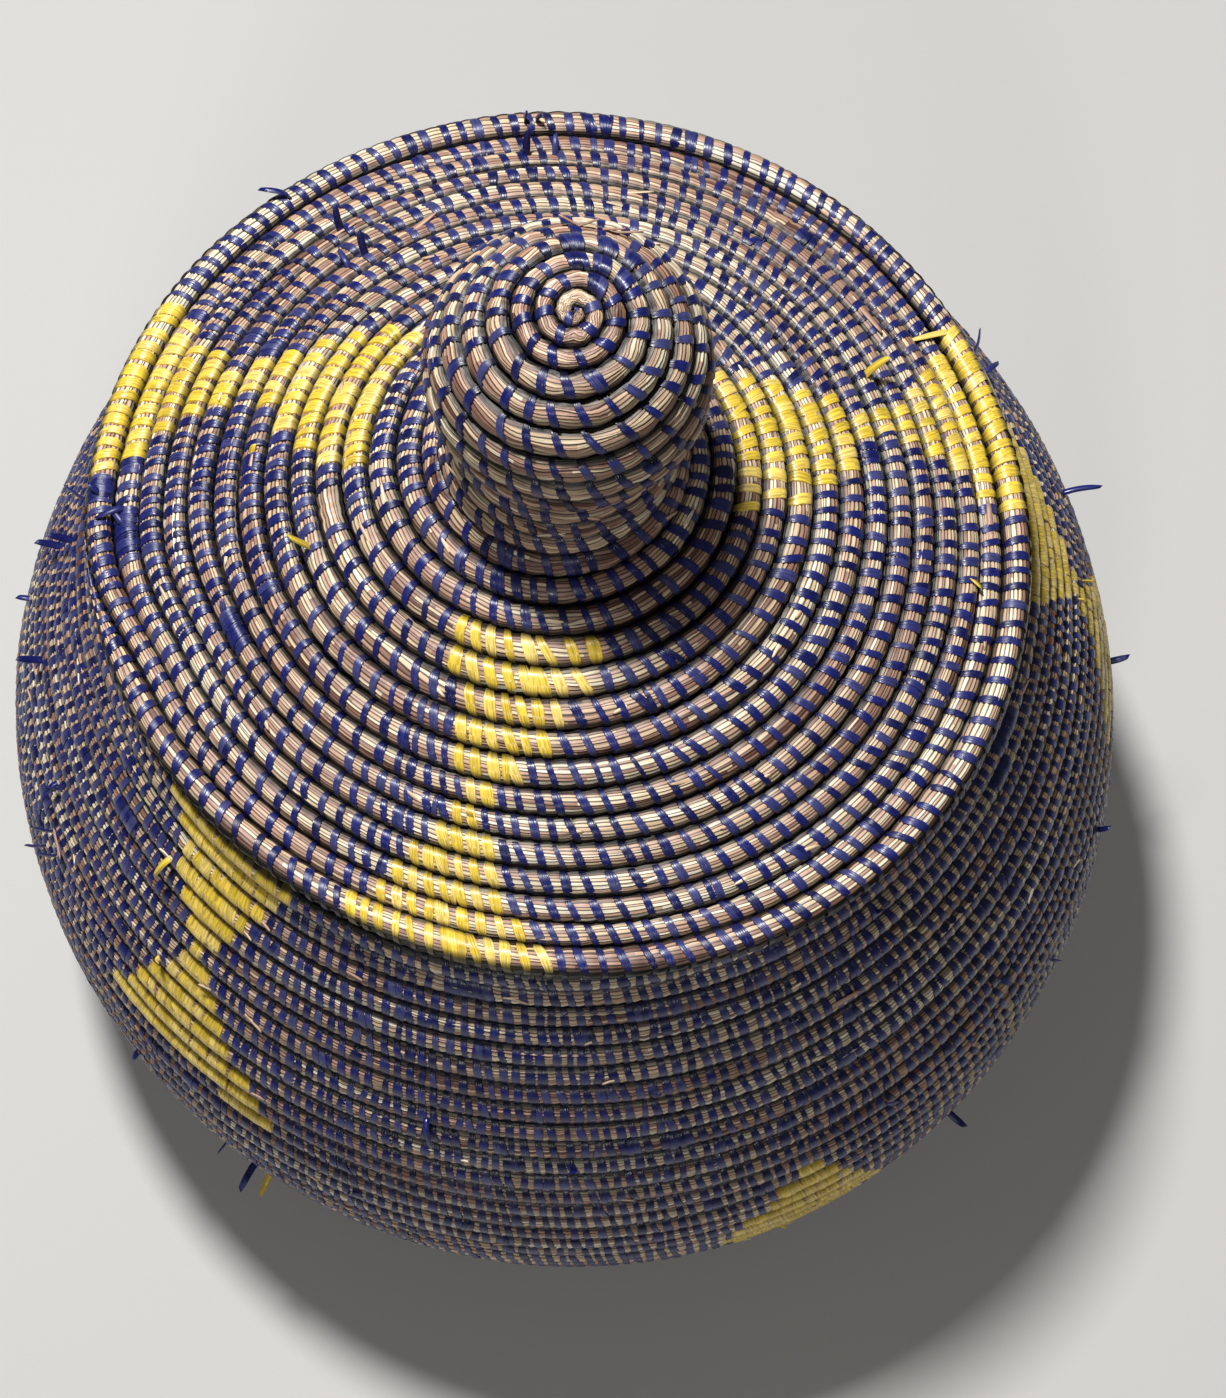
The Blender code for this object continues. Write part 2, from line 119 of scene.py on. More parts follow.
# How the space between stitches changes from the first round to the last
BODY_STITCH_SHARES = ((0, 0.5, 0.7, 1), (1.1, 0.97, 1.0, 1.12))
LID_STITCH_SHARES = ((0, 0.4, 0.55, 1), (1.3, 1.25, 1.0, 1.0))

# How the space between the lid's stitches, and their lean, change with the bearing in degrees
LID_AROUND_SHARES = ((-180, 0.84), (-165, 0.95), (-152, 1.4), (-125, 1.45), (-116, 0.98), (-96, 0.98),
                     (-85, 1.3), (-25, 1.24), (0, 1.1), (14, 0.97), (52, 1.0), (62, 1.2), (135, 1.2),
                     (145, 0.92), (166, 0.9), (180, 0.84))
LID_LEANS = ((-180, -0.25), (-150, -0.42), (-90, -0.38), (-40, -0.3), (0, -0.2), (90, -0.26), (180, -0.25))

# How far the crest of a stitch is pulled on along the coil, as a share of the round's half width
LID_BOWS = ((-180, 0.5), (-130, 0.42), (-95, -0.05), (0, -0.12), (90, 0.15), (150, 0.42), (180, 0.5))

# Yellow triangles: the apex as a round counted back from the last and a bearing in degrees, then the
# round of the base and the bearings of its ends
LID_MOTIFS = (
    (5.3, -104.5, -0.7, -119.3, -90), (4.6, -104.5, 10.6, -120.5, -77),
    (5.4, 158.5, -0.7, 146.3, 175.7), (4.2, 156.5, 10.6, 130, 184),
    (5.3, 15, -0.7, -1, 30.5), (4.7, 14.5, 10.6, -17, 33),
)
BODY_MOTIFS = (
    (6.4, -133.4, -0.7, -146, -123.4), (6.0, -133.4, 12.9, -145, -120.4),
    (7.3, 2.5, -0.7, -11, 25), (6.9, 1.5, 13.6, -10.5, 14),
    (6.4, 116, -0.7, 103, 128), (6.0, 116, 12.9, 104, 129),
    (12.9, -65, 18.5, -74, -55.5), (24.6, -65, 18.4, -74, -55.5),
    (12.9, 53.5, 18.5, 44, 63), (24.6, 53.5, 18.4, 44, 63),
    (12.9, 173.5, 18.5, 164, 183), (24.6, 173.5, 18.4, 164, 183),
)

# Places wrapped close, as a round counted back from the last, a bearing and a length along the coil
WALL_WRAPS = ((1.4, -101, 0.014), (2.3, -82.4, 0.008), (1.9, -23.8, 0.016), (4.2, -150, 0.014))
LID_WRAPS = ((0.3, 177, 0.007), (25.3, 86, 0.012), (25.3, 54, 0.012), (24.3, 83, 0.013), (24.3, 58, 0.012),
             (26.3, 70, 0.007), (1.3, 172, 0.006), (1.6, 183, 0.01), (4.2, 205, 0.012))

# Short ends: a round counted back from the last, a bearing in degrees, and the millimetres that the
# tip lies on along the coil, aside towards the round before and out
WALL_TUFTS = (
    (8.1, -104, 3, 11, 3), (6.1, -80.6, 3, -3, 3), (10.7, -88.7, -2, -3, 3), (8.1, -161.2, 3, 5, 5),
    (10.1, -158.5, -3, 0, 6), (12.1, -159.5, -2.5, 1, 6), (11.1, -157, -2.5, 0, 5.5), (8.3, -160.5, -2, 0, 5),
    (9.3, 16.5, -2, 3, 12), (13.8, -16.5, 1, -2, 4), (19, -128, 0, 0, 4.5), (2.3, 171.5, -2.5, 0, 7),
    (10.3, 174.5, 0, 1, 4.5), (15.3, -30.5, 1, -1, 3), (10.8, -39, 2, 4, 3), (1.8, -50.5, 3, -4, 3),
    (0.6, 27, 6, 0, 7), (2.2, 25.6, 2, 5, 5), (17.2, -140, 2, -3, 3), (12.5, -55.8, 3, -3, 3),
    (9.5, 60, 3, -4, 4), (12, 95, -3, -4, 5), (6.5, 140, 3, 3, 4), (15.5, -112, 3, -3, 3),
)
WALL_YELLOW_TUFTS = ((3.1, -141, -1, 9, 3), (8.3, 4.5, -1, 0, 4), (6.6, 1.1, -1, -1, 2.5),
                     (8.5, -138, 2, -3, 3))
LID_TUFTS = (
    (0.4, 95, 1, 0, 6), (0.4, 93.5, 2, 1, 5), (0.3, 127.5, -7, -6.5, 3), (0.3, 176.5, 2, -3.5, 3),
    (1.1, 178.5, -3.5, -8, 3), (1.6, 181, 6, -4, 2), (5.8, 129.7, 1, -6, 3), (2.3, 91, 0, -4, 5),
    (4.1, -160, 3, 2, 2),
)
LID_YELLOW_TUFTS = ((2.3, -9.4, 3, -3, 1.5), (6.2, 172, 2, 2, 1.5), (5.1, -104, 1, 2, 2),
                    (0.3, 28, -2.5, 12.3, 1))

# Stalks that have sprung loose, placed in the same way
WALL_SPLINTERS = ((10.3, -160, 15, -2, 1.5), (5.5, -60, 12, -2, 0.8), (12, 130, 14, 3, 1))
LID_SPLINTERS = ((23.4, 78, 8, 3, 2.5), (23.6, 84, -7, 2, 3), (23.3, 72, 9, -2, 2), (23.5, 90, 7, 3, 3),
                 (0.6, -3, -12, 1, 1), (3.4, 38, 14, 2, 1.2), (8.3, 70, -12, 2, 1), (5.6, 118, 11, -2, 1))

# The arcs of a bundle, in degrees from its crest, that its outer and inner stalks take
OUTER_ARC = (-78, 78)
INNER_ARC = (102, 258)

# How deep a stitch pinches the bundle, how far round the bundle it is on the fibre map, and how thick
# a loose strip and a loose stalk are
PINCH_DEPTH = 0.00045
BUNDLE_GIRTH = 0.0276
RIBBON_THICKNESS = 0.0003
STALK_THICKNESS = 0.0004

# Depth of the fine lines in grass and strip
RELIEF_DEPTH = 0.0002

# Each lamp's name, bearing and height in degrees, distance, size and watts
LAMPS = (("key", 127, 74, 1.8, 0.24, 47), ("fill", -98, 42, 2.2, 0.4, 9))
LAMPS_AIM = (0, 0, 0.2)
ROOM_STRENGTH = 0.09
ROOM_STRENGTH_SEEN = 0.62

# The photograph's height and the camera's focal length in its pixels, the camera's place with its
# height above the rim, and how far it looks down
PHOTO_HEIGHT = 1398
FOCAL_LENGTH = 3400
CAMERA_PLACE = (0.0159, -0.4239, 0.9357)
CAMERA_DIP = 68.56
SENSOR_WIDTH = 36


def linear(code):
    """An sRGB hex colour as linear red, green, blue and alpha."""
    values = (int(code[place:place + 2], 16) / 255 for place in (1, 3, 5))
    return tuple(v / 12.92 if v <= 0.04045 else ((v + 0.055) / 1.055) ** 2.4 for v in values) + (1.0,)


def size(name, description, default):
    return FloatProperty(name=name, description=description, default=default, unit='LENGTH')


def stalks(name, description, default):
    return IntProperty(name=name, description=description, default=default, min=3)


def paint(name, description, code):
    return FloatVectorProperty(name=name, description=description, default=linear(code), size=4,
                               subtype='COLOR', min=0, max=1)


class BasketSizes(bpy.types.PropertyGroup):
    """Sizes that a user would change."""
    wall_round: size("Wall round", "Height of one round up the wall", 0.0094)
    lid_round: size("Lid round", "Width of one round of the lid", 0.0088)
    crown_round: size("Crown round", "Width of the first rounds on the knob", 0.0054)
    wall_bundle: size("Wall bundle", "Thickness of the wall's grass bundle", 0.0082)
    lid_bundle: size("Lid bundle", "Thickness of the lid's grass bundle", 0.0078)
    crown_bundle: size("Crown bundle", "Thickness of the crown's grass bundle", 0.0046)
    wall_stitch: size("Wall stitch", "From one stitch of the wall to the next", 0.0041)
    lid_stitch: size("Lid stitch", "From one stitch of the lid to the next", 0.0046)
    wall_strip: size("Wall strip", "Width of the strip in the wall", 0.0028)
    lid_strip: size("Lid strip", "Width of the strip in the lid", 0.0027)
    strip_thickness: size("Strip thickness", "How far a strip stands off the grass", 0.00042)
    stalk_relief: size("Stalk relief", "Depth of the grooves between stalks", 0.00058)
    outer_stalks: stalks("Outer stalks", "Stalks on the outside of a bundle", 10)
    inner_stalks: stalks("Inner stalks", "Stalks on the inside of a bundle", 7)


class BasketColours(bpy.types.PropertyGroup):
    """Colours of the strip and the floor."""
    blue: paint("Blue strip", "Colour of the blue plastic strip", "#151C5D")
    yellow: paint("Yellow strip", "Colour of the yellow plastic strip", "#D9B93D")
    floor: paint("Floor", "Colour of the plain floor", "#C0BFBC")


@functools.cache
def node_box(node):
    """The lowest and highest corner of a CAD node."""
    return tuple(map(Vector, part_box(node)))


# Lines of the winding, as lists of radius and height

def bezier(start, first, second, end, count=60):
    t = np.linspace(0, 1, count + 1)[:, None]
    a, b, c, d = map(np.array, (start, first, second, end))
    return (1 - t) ** 3 * a + 3 * t * (1 - t) ** 2 * b + 3 * t * t * (1 - t) * c + t ** 3 * d


def step_from(point, reach, angle):
    """The point so far from another at an angle above the level."""
    return point[0] + reach * math.cos(angle), point[1] + reach * math.sin(angle)


def line_length(line):
    return np.hypot(*np.diff(line, axis=0).T).sum()


def ring_middle(node):
    """Radius and height of the middle of a ring-shaped node, and how thick it is."""
    low, high = node_box(node)
    strand = high.z - low.z
    return high.x - strand / 2, (low.z + high.z) / 2, strand


def body_line():
    """From the middle of the base out to its edge and up the wall to the top of the mouth."""
    low, high = node_box("base_disc")
    middle = (high.z - low.z) / 2
    edge = high.x - middle * math.tan(HEEL_ANGLE)
    mouth, mouth_height, strand = ring_middle("mouth_coil")
    belly = node_box("upper_belly")[1].x - middle
    base = (edge, middle)
    top = (mouth, mouth_height - strand / 2)
    rise = BELLY_HEIGHT - middle
    climb = top[1] - BELLY_HEIGHT
    heel = step_from(base, LOWER_HANDLE_SHARES[0] * rise, HEEL_ANGLE)
    shoulder = step_from(top, UPPER_HANDLE_SHARES[1] * climb, -SHOULDER_ANGLE)
    widest = (belly, BELLY_HEIGHT)
    lower = bezier(base, heel, (belly, BELLY_HEIGHT - LOWER_HANDLE_SHARES[1] * rise), widest)
    upper = bezier(widest, (belly, BELLY_HEIGHT + UPPER_HANDLE_SHARES[0] * climb), shoulder, top)
    return np.vstack(([(0, middle)], lower, upper[1:], [(mouth, mouth_height + strand / 2)]))


def lid_line(sizes):
    """From the knob's pole down the ball, the neck and the cone and out to the rim's edge."""
    rim, seat, strand = ring_middle("rim_coil")
    knob = node_box("knob_lower")[1].x
    half = (strand - 2 * sizes.strip_thickness) / 2
    crown_drop = sizes.crown_bundle / 2 + sizes.strip_thickness
    angles = np.linspace(0, KNOB_FOOT_ANGLE, 90)
    share = np.clip((angles - math.radians(28)) / math.radians(16), 0, 1)
    ball = knob - crown_drop + (crown_drop - strand / 2) * share
    centre = seat + KNOB_CENTRE_HEIGHT
    globe = np.stack((ball * np.sin(angles), centre + ball * np.cos(angles)), 1)
    waist = (NECK_WAIST_RADIUS - half, seat + NECK_WAIST_HEIGHT)
    brim = rim - strand
    run = brim - strand / 2 * math.cos(CONE_ANGLE)
    bend = (run, seat + strand / 2 * math.sin(CONE_ANGLE))
    foot = (CONE_TOP_RADIUS, bend[1] + (run - CONE_TOP_RADIUS) * math.tan(CONE_ANGLE))
    upper = globe[-1][1] - waist[1]
    lower = waist[1] - foot[1]
    out = step_from(globe[-1], NECK_HANDLE_SHARES[3] * upper, -KNOB_FOOT_ANGLE)
    head = bezier(globe[-1], out, (waist[0], waist[1] + NECK_HANDLE_SHARES[2] * upper), waist)
    flare = step_from(foot, -NECK_HANDLE_SHARES[0] * lower, -CONE_ANGLE)
    tail = bezier(waist, (waist[0], waist[1] - NECK_HANDLE_SHARES[1] * lower), flare, foot)
    return np.vstack((globe, head[1:], tail[1:], [bend, (brim, seat), (rim + strand / 2, seat)]))


def collar_line():
    """Down the locating collar under the brim."""
    low, high = node_box("locating_ring")
    middle = high.x - COLLAR_THICKNESS / 2
    return np.array(((middle, high.z), (middle, low.z)))


# How the finished pieces are out of true

def oval(bearing, shares):
    return (shares[0] * np.sin(2 * bearing) + shares[1] * np.cos(3 * bearing)
            + shares[2] * np.sin(3 * bearing))


def bend_body(radius, bearing, height):
    """The body's wall pushed a little out of round."""
    rim = ring_middle("rim_coil")[0]
    belly = node_box("upper_belly")[1].x
    radius = radius + rim * oval(bearing, BODY_OVAL_SHARES) * np.minimum(radius / belly, 1)
    return np.stack((radius * np.cos(bearing), radius * np.sin(bearing), height), -1)


def bend_lid(radius, bearing, height):
    """The lid pushed out of round, its knob leaning and the knob's winding tilted forwards."""
    rim, seat, _ = ring_middle("rim_coil")
    radius = radius + radius ** 2 / rim * oval(bearing, LID_OVAL_SHARES)
    x = radius * np.cos(bearing)
    y = radius * np.sin(bearing)
    centre = seat + KNOB_CENTRE_HEIGHT
    waist = seat + NECK_WAIST_HEIGHT
    share = np.clip((height - waist) / (centre - waist), 0, 1)
    angle = KNOB_TILT * share ** 2 * (3 - 2 * share)
    above = height - centre
    foot = seat + NECK_WAIST_HEIGHT / 2
    top = node_box("knob_crown")[1].z
    lean = KNOB_LEAN * np.clip((height - foot) / (top - foot), 0, 1)
    return np.stack((x + lean, y * np.cos(angle) - above * np.sin(angle),
                     centre + y * np.sin(angle) + above * np.cos(angle)), -1)


class Coil:
    """A bundle of grass wound along a line. A turn counts rounds from the start of the winding."""

    def __init__(self, line, side, pitches, bundles, start, sense, bend, seed, jog=0.13, level=6):
        fine = np.concatenate(([0], np.cumsum(np.hypot(*np.diff(line, axis=0).T))))
        self.s = np.linspace(0, fine[-1], int(fine[-1] / LINE_STEP))
        self.line = np.stack([np.interp(self.s, fine, line[:, k]) for k in (0, 1)], 1)
        ahead = np.gradient(self.line, self.s, axis=0)
        ahead = np.stack([np.convolve(np.pad(ahead[:, k], 6, mode="edge"), np.ones(13) / 13, "valid")
                          for k in (0, 1)], 1)
        self.ahead = ahead / np.linalg.norm(ahead, axis=1)[:, None]
        self.outward = side * np.stack((self.ahead[:, 1], -self.ahead[:, 0]), 1)
        self.handed = side * sense
        self.start, self.sense, self.bend = start, sense, bend
        pitches = np.array(pitches) * fine[-1] / sum(pitches)
        self.rounds = len(pitches) + 1
        self.pitches = np.append(pitches, pitches[-1])
        self.bundles = np.array(bundles)
        rng = np.random.default_rng(seed)
        self.waves = [(rng.uniform(0.7, 4.3), rng.uniform(0, TAU)) for _ in range(7)]
        self.edges = self.edge_table(pitches, jog, level)

    def edge_table(self, pitches, jog, level):
        """Turns, and how far along the line the coil's outer edge lies at each. The last rounds keep
        level and step up in one place, as a maker ends a rim."""
        turn = np.linspace(0, self.rounds, self.rounds * EDGES_PER_ROUND + 1)
        last = len(pitches) - 1
        whole = np.minimum(turn.astype(int), last)
        part = turn - whole
        steep = np.clip((part - 1 + jog) / jog, 0, 1)
        steep = steep ** 2 * (3 - 2 * steep)
        share = np.clip((whole - (last - level)) / level, 0, 1)
        rise = np.where(turn >= len(pitches), 1, (1 - share) * part + share * steep)
        edge = np.concatenate(([0], np.cumsum(pitches)))[whole] + pitches[whole] * rise
        free = np.clip(turn - 1, 0, 1) * np.clip((last - turn) / 2, 0, 1)
        return turn, edge + 0.03 * self.pitches[whole] * self.wander(turn, 0) * free

    def wander(self, turn, phase):
        """A slow uneven swing between about -1 and 1."""
        return sum(np.sin(TAU * turn * rate + offset + phase * 1.7) for rate, offset in self.waves) / 3

    def edge(self, turn):
        return np.interp(turn, *self.edges, left=0)

    def middle(self, turn):
        return (self.edge(turn) + self.edge(turn - 1)) / 2

    def half_width(self, turn):
        return (self.edge(turn) - self.edge(turn - 1)) / 2

    def half_bundle(self, turn):
        """Half the coil's thickness, less where it tapers at its two ends."""
        pitch = np.interp(turn, np.arange(len(self.pitches)) + 0.5, self.pitches)
        full = np.interp(turn, np.arange(len(self.bundles)), self.bundles) / 2
        return full * np.clip(self.half_width(turn) * 2 / pitch, 0.05, 1) ** 0.6

    def radius(self, turn):
        return np.interp(self.middle(turn), self.s, self.line[:, 0])

    def bearing(self, turn):
        return self.start + self.sense * TAU * turn

    def round_about(self, turn, table):
        """A value that changes with the bearing, from a table of bearings in degrees."""
        return np.interp((np.degrees(self.bearing(turn)) + 180) % 360 - 180, *np.transpose(table))

    def place(self, turn, along, aside, out):
        """Points moved from a turn's middle along the coil, towards the next round and outwards."""
        s = self.middle(turn)
        at, ahead, outward = ([np.interp(s, self.s, table[:, k]) for k in (0, 1)]
                              for table in (self.line, self.ahead, self.outward))
        out = out + 0.0002 * self.wander(turn, 1)
        radius, height = (at[k] + aside * ahead[k] + out * outward[k] for k in (0, 1))
        bearing = self.bearing(turn) + self.sense * along / np.maximum(radius, LEAST_RADIUS)
        return self.bend(radius, bearing, height)

    def section(self, angle):
        """Shares of the half width and the half thickness at an angle round the bundle."""
        across, up = np.sin(angle), np.cos(angle)
        return np.sign(across) * np.abs(across) ** 0.96, np.sign(up) * np.abs(up) ** 0.93


# Stitches

def stitch_turns(coil, seams, rng, first=0.35):
    """Turns at which the strip goes round. Each stitch goes in beside one of the round before, moved
    on by its lean, and one is added or left out where these columns get too wide or narrow."""
    turns = [first]
    below = 0
    while turns[-1] < coil.rounds - 0.004:
        here = turns[-1]
        length = TAU * max(coil.radius(here), LEAST_RADIUS)
        step = seams["space"] * np.interp(here / coil.rounds, *seams["shares"]) / length
        step *= coil.round_about(here, seams["around"])
        lean = coil.round_about(here, seams["leans"])
        drift = 1.4 * lean * coil.half_width(here) / length * min(here / 3, 1)
        while turns[below] + 1 + drift < here + 0.74 * step:
            below += 1
        ahead = turns[below] + 1 + drift
        if ahead - here > 1.32 * step:
            ahead = here + step
        turns.append(ahead + rng.normal(0, seams["uneven"]) * step)
    return np.array(turns[:-1])


def motif_at(coil, turn, motifs):
    """True where a turn lies in one of the yellow triangles."""
    course = (coil.edges[1][-1] - coil.middle(turn)) / coil.pitches[-1] - 0.5
    bearing = np.degrees(coil.bearing(turn))
    inside = np.zeros(len(turn), bool)
    for apex, point, base, left, right in motifs:
        share = (course - apex) / (base - apex)
        low = point + (left - point) * share
        high = point + (right - point) * share
        inside |= (share > 0) & (share <= 1) & ((bearing - low) % 360 < high - low)
    return inside


def dressed(coil, turns, motifs, seams, rng):
    """The stitches as a table of turn, sideways place, width, lean, lift and tone, with some left
    out, doubled, crossed or wrapped close, and which of them are yellow."""
    count = len(turns)
    width = seams["width"]
    keep = np.ones(count, bool)
    for start in rng.integers(20, count - 200, seams["bare"]):
        keep[start:start + rng.integers(1, 3)] = False
    table = [stitches(turns[keep], 0, width * rng.normal(1, 0.12, keep.sum()).clip(0.65, 1.4),
                      rng.normal(0, 0.06, keep.sum()), 0, rng)]
    extra = rng.choice(count, int(0.05 * count), replace=False)
    shift = width * rng.uniform(0.4, 0.9, len(extra)) * rng.choice((-1, 1), len(extra))
    table.append(stitches(turns[extra], shift, width * rng.uniform(0.5, 1.0, len(extra)),
                          rng.normal(0, 0.2, len(extra)), rng.uniform(0.3, 1, len(extra)), rng))
    runs = [(start, start + rng.integers(1, 4)) for start in rng.integers(20, count - 20, seams["dense"])]
    for back, bearing, length in seams["wraps"]:
        first = near_turn(coil, back, bearing)
        reach = length / (TAU * coil.radius(first))
        runs.append(tuple(np.searchsorted(turns, (first - reach / 2, first + reach / 2))))
    for start, end in runs:
        run = np.arange(start, max(end, start + 1)).clip(0, count - 1)
        for share in (0.6, 1.15):
            table.append(stitches(turns[run], width * share * rng.uniform(0.8, 1.2, len(run)),
                                  width * rng.uniform(0.7, 1.25, len(run)), rng.normal(0, 0.13, len(run)),
                                  rng.uniform(0, 1.6, len(run)), rng))
    table = np.vstack(table)
    table = table[np.argsort(table[:, 0], kind="stable")]
    at = table[:, 0] + table[:, 1] / (TAU * np.maximum(coil.radius(table[:, 0]), LEAST_RADIUS))
    yellow = motif_at(coil, at, motifs)
    table[yellow, 2] *= seams["yellow"]
    table[:, 3] += coil.round_about(at, seams["leans"])
    return table, yellow


def stitches(turns, shift, width, lean, rise, rng):
    """Rows of the table of stitches, each with a tone of its own."""
    tone = rng.random(len(turns))
    return np.transpose(np.broadcast_arrays(turns, shift, width, lean, rise, tone))


def near_turn(coil, back, bearing):
    """The turn at a bearing in degrees closest to a round counted back from the last."""
    part = coil.sense * (math.radians(bearing) - coil.start) / TAU
    return part + round(coil.rounds - 0.5 - back - part)


# Meshes

def grid_corners(rows, columns, flip):
    """Row and column of each corner of the quads of a grid."""
    i, j = np.indices((rows, columns))[..., None]
    di, dj = np.array(((0, 1, 1, 0), (0, 0, 1, 1)))[:, ::-1 if flip else 1]
    return i + di, j + dj


def grid_faces(rows, columns, closed, flip):
    """Quads between rows of points, closed round each row or not."""
    i, j = grid_corners(rows - 1, columns if closed else columns - 1, flip)
    return (i * columns + j % columns).reshape(-1, 4)


def copies(quads, count, each):
    """The quads of a number of strips, from those of one and how many points each has."""
    return (np.arange(count)[:, None, None] * each + quads).reshape(-1, 4)


def in_cells(corner, count, margin):
    """The corners of a number of strips on a map that has a cell for each."""
    cells = math.ceil(math.sqrt(count))
    cell = np.stack((np.arange(count) % cells, np.arange(count) // cells), 1)[:, None, None]
    return (cell + margin + (1 - 2 * margin) * corner) / cells


def flat(values, kind=np.float32):
    return np.ascontiguousarray(values, kind).ravel()


def placed(name, data):
    """A new object in the scene."""
    item = bpy.data.objects.new(name, data)
    bpy.context.scene.collection.objects.link(item)
    return item


def mesh_object(name, points, quads, layers, body, slot, crisp=None):
    """A smooth mesh that rides on a body. Layers are its UV maps, per corner, and its attributes, per
    point or face. Crisp is how many columns a strip has and which of them keep sharp edges."""
    mesh = bpy.data.meshes.new(name)
    points = flat(points)
    mesh.vertices.add(points.size // 3)
    mesh.vertices.foreach_set("co", points)
    mesh.loops.add(quads.size)
    mesh.loops.foreach_set("vertex_index", flat(quads, np.int32))
    mesh.polygons.add(len(quads))
    mesh.polygons.foreach_set("loop_start", np.arange(0, quads.size, 4, dtype=np.int32))
    mesh.update(calc_edges=True)
    mesh.shade_smooth()
    if crisp:
        columns, kept = crisp
        ends = np.empty(2 * len(mesh.edges), np.int32)
        mesh.edges.foreach_get("vertices", ends)
        ends = ends.reshape(-1, 2) % columns
        sharp = (ends[:, 0] == ends[:, 1]) & np.isin(ends[:, 0], kept)
        mesh.attributes.new("sharp_edge", 'BOOLEAN', 'EDGE').data.foreach_set("value", sharp)
    for label, (kind, values) in layers.items():
        if kind == 'UV':
            mesh.uv_layers.new(name=label).uv.foreach_set("vector", flat(values))
        else:
            mesh.attributes.new(label, 'FLOAT', kind).data.foreach_set("value", flat(values))
    mesh.materials.append(materials()[slot])
    item = placed(name, mesh)
    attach(item, body)
    return item


def ring_turns(turns, first, last, per_stitch):
    """Turns for the sections of a band, some from each stitch to the next, and how far each is from a
    stitch: 0 at one and 1 halfway between two."""
    knots = [first, *turns[(turns > first) & (turns < last)], last]
    rings, free = [], []
    for start, end in zip(knots[:-1], knots[1:]):
        count = max(per_stitch, math.ceil((end - start) * SECTIONS_PER_ROUND))
        share = np.arange(count) / count
        rings.extend(start + (end - start) * share)
        free.extend(np.sin(math.pi * share))
    return np.array(rings + [last]), np.array(free + [0])


def stalk_tones(count, number, turns, rng):
    """A tone for each stalk of each stretch, new where another stalk is fed in, on a slower change of
    the whole bundle."""
    run = rng.integers(14, 40, number)
    shift = rng.integers(0, 40, number)
    place = (np.arange(count)[:, None] + shift) // run
    fresh = np.take_along_axis(rng.random((count // 14 + 6, number)), place, 0)
    patch = 0.5 + 0.35 * np.sin(TAU * turns * 1.3 + 2 * np.sin(TAU * turns * 0.37) + rng.uniform(0, TAU))
    patch += 0.25 * np.sin(TAU * turns * 4.1 + rng.uniform(0, TAU))
    return np.clip(0.7 * fresh + 0.34 * patch[:, None], 0, 1)


def stalk_columns(rings, count, low, high, rng):
    """Angles of one side's stalks at each ring, their widths drifting: where two meet, then where one
    stands highest, and so on."""
    drift = 1 + 0.42 * slow_noise(rings, count, 3, 11, rng)
    ends = np.concatenate((np.zeros((len(rings), 1)), np.cumsum(drift, 1)), 1)
    ends = low + (high - low) * ends / ends[:, -1:]
    columns = np.empty((len(rings), 2 * count + 1))
    columns[:, ::2] = ends
    columns[:, 1::2] = (ends[:, 1:] + ends[:, :-1]) / 2
    return columns


def slow_noise(rings, count, slowest, fastest, rng):
    """An uneven swing between about -1 and 1 for each of several stalks along the coil."""
    rate = TAU * rng.uniform(slowest, fastest, (3, count))
    phase = rng.uniform(0, TAU, (3, count))
    return sum(np.sin(rings[:, None] * rate[k] + phase[k]) for k in range(3)) / 1.8


def grass_band(name, coil, turns, first, last, per_stitch, sizes, body, seed):
    """A stretch of the coil as a bundle of stalks, pinched at each stitch."""
    rng = np.random.default_rng(seed)
    rings, free = ring_turns(turns, first, last, per_stitch)
    outer, inner = sizes.outer_stalks, sizes.inner_stalks
    angle = np.hstack([stalk_columns(rings, count, *map(math.radians, arc), rng)
                       for count, arc in ((outer, OUTER_ARC), (inner, INNER_ARC))])
    columns = angle.shape[1]
    across, up = coil.section(angle)
    crest = np.concatenate([np.arange(2 * count + 1) % 2 for count in (outer, inner)])
    owner = np.concatenate((np.arange(2 * outer + 1) // 2, np.arange(2 * inner + 1) // 2 + outer + 1))
    loose = slow_noise(rings, outer + inner + 2, 3, 14, rng)[:, owner]
    lift = sizes.stalk_relief * (crest * (1 + 0.45 * loose) - 0.8) + (free[:, None] - 0.75) * PINCH_DEPTH
    half_width = coil.half_width(rings)[:, None] * 1.01 + lift
    half_bundle = coil.half_bundle(rings)[:, None] + lift
    points = coil.place(rings[:, None], 0.0, half_width * across, half_bundle * up)
    quads = grid_faces(len(rings), columns, True, coil.handed < 0)
    layers = band_layers(coil, rings, columns, owner, first, last, rng)
    # crest and crease carry painted shade: the grass material darkens the grooves between stalks and the
    # creases between rounds by them
    layers["crest"] = ('POINT', np.tile(crest, (len(rings), 1)))
    layers["crease"] = ('POINT', crease_share(across))
    return mesh_object(name, points, quads, layers, body, "grass_coil")


def crease_share(across):
    """How deep a place lies between two rounds: 0 on a round's open part, 1 where they touch. The
    materials darken by it as painted shade.
    """
    return np.clip((np.abs(across) - 0.52) / 0.32, 0, 1)


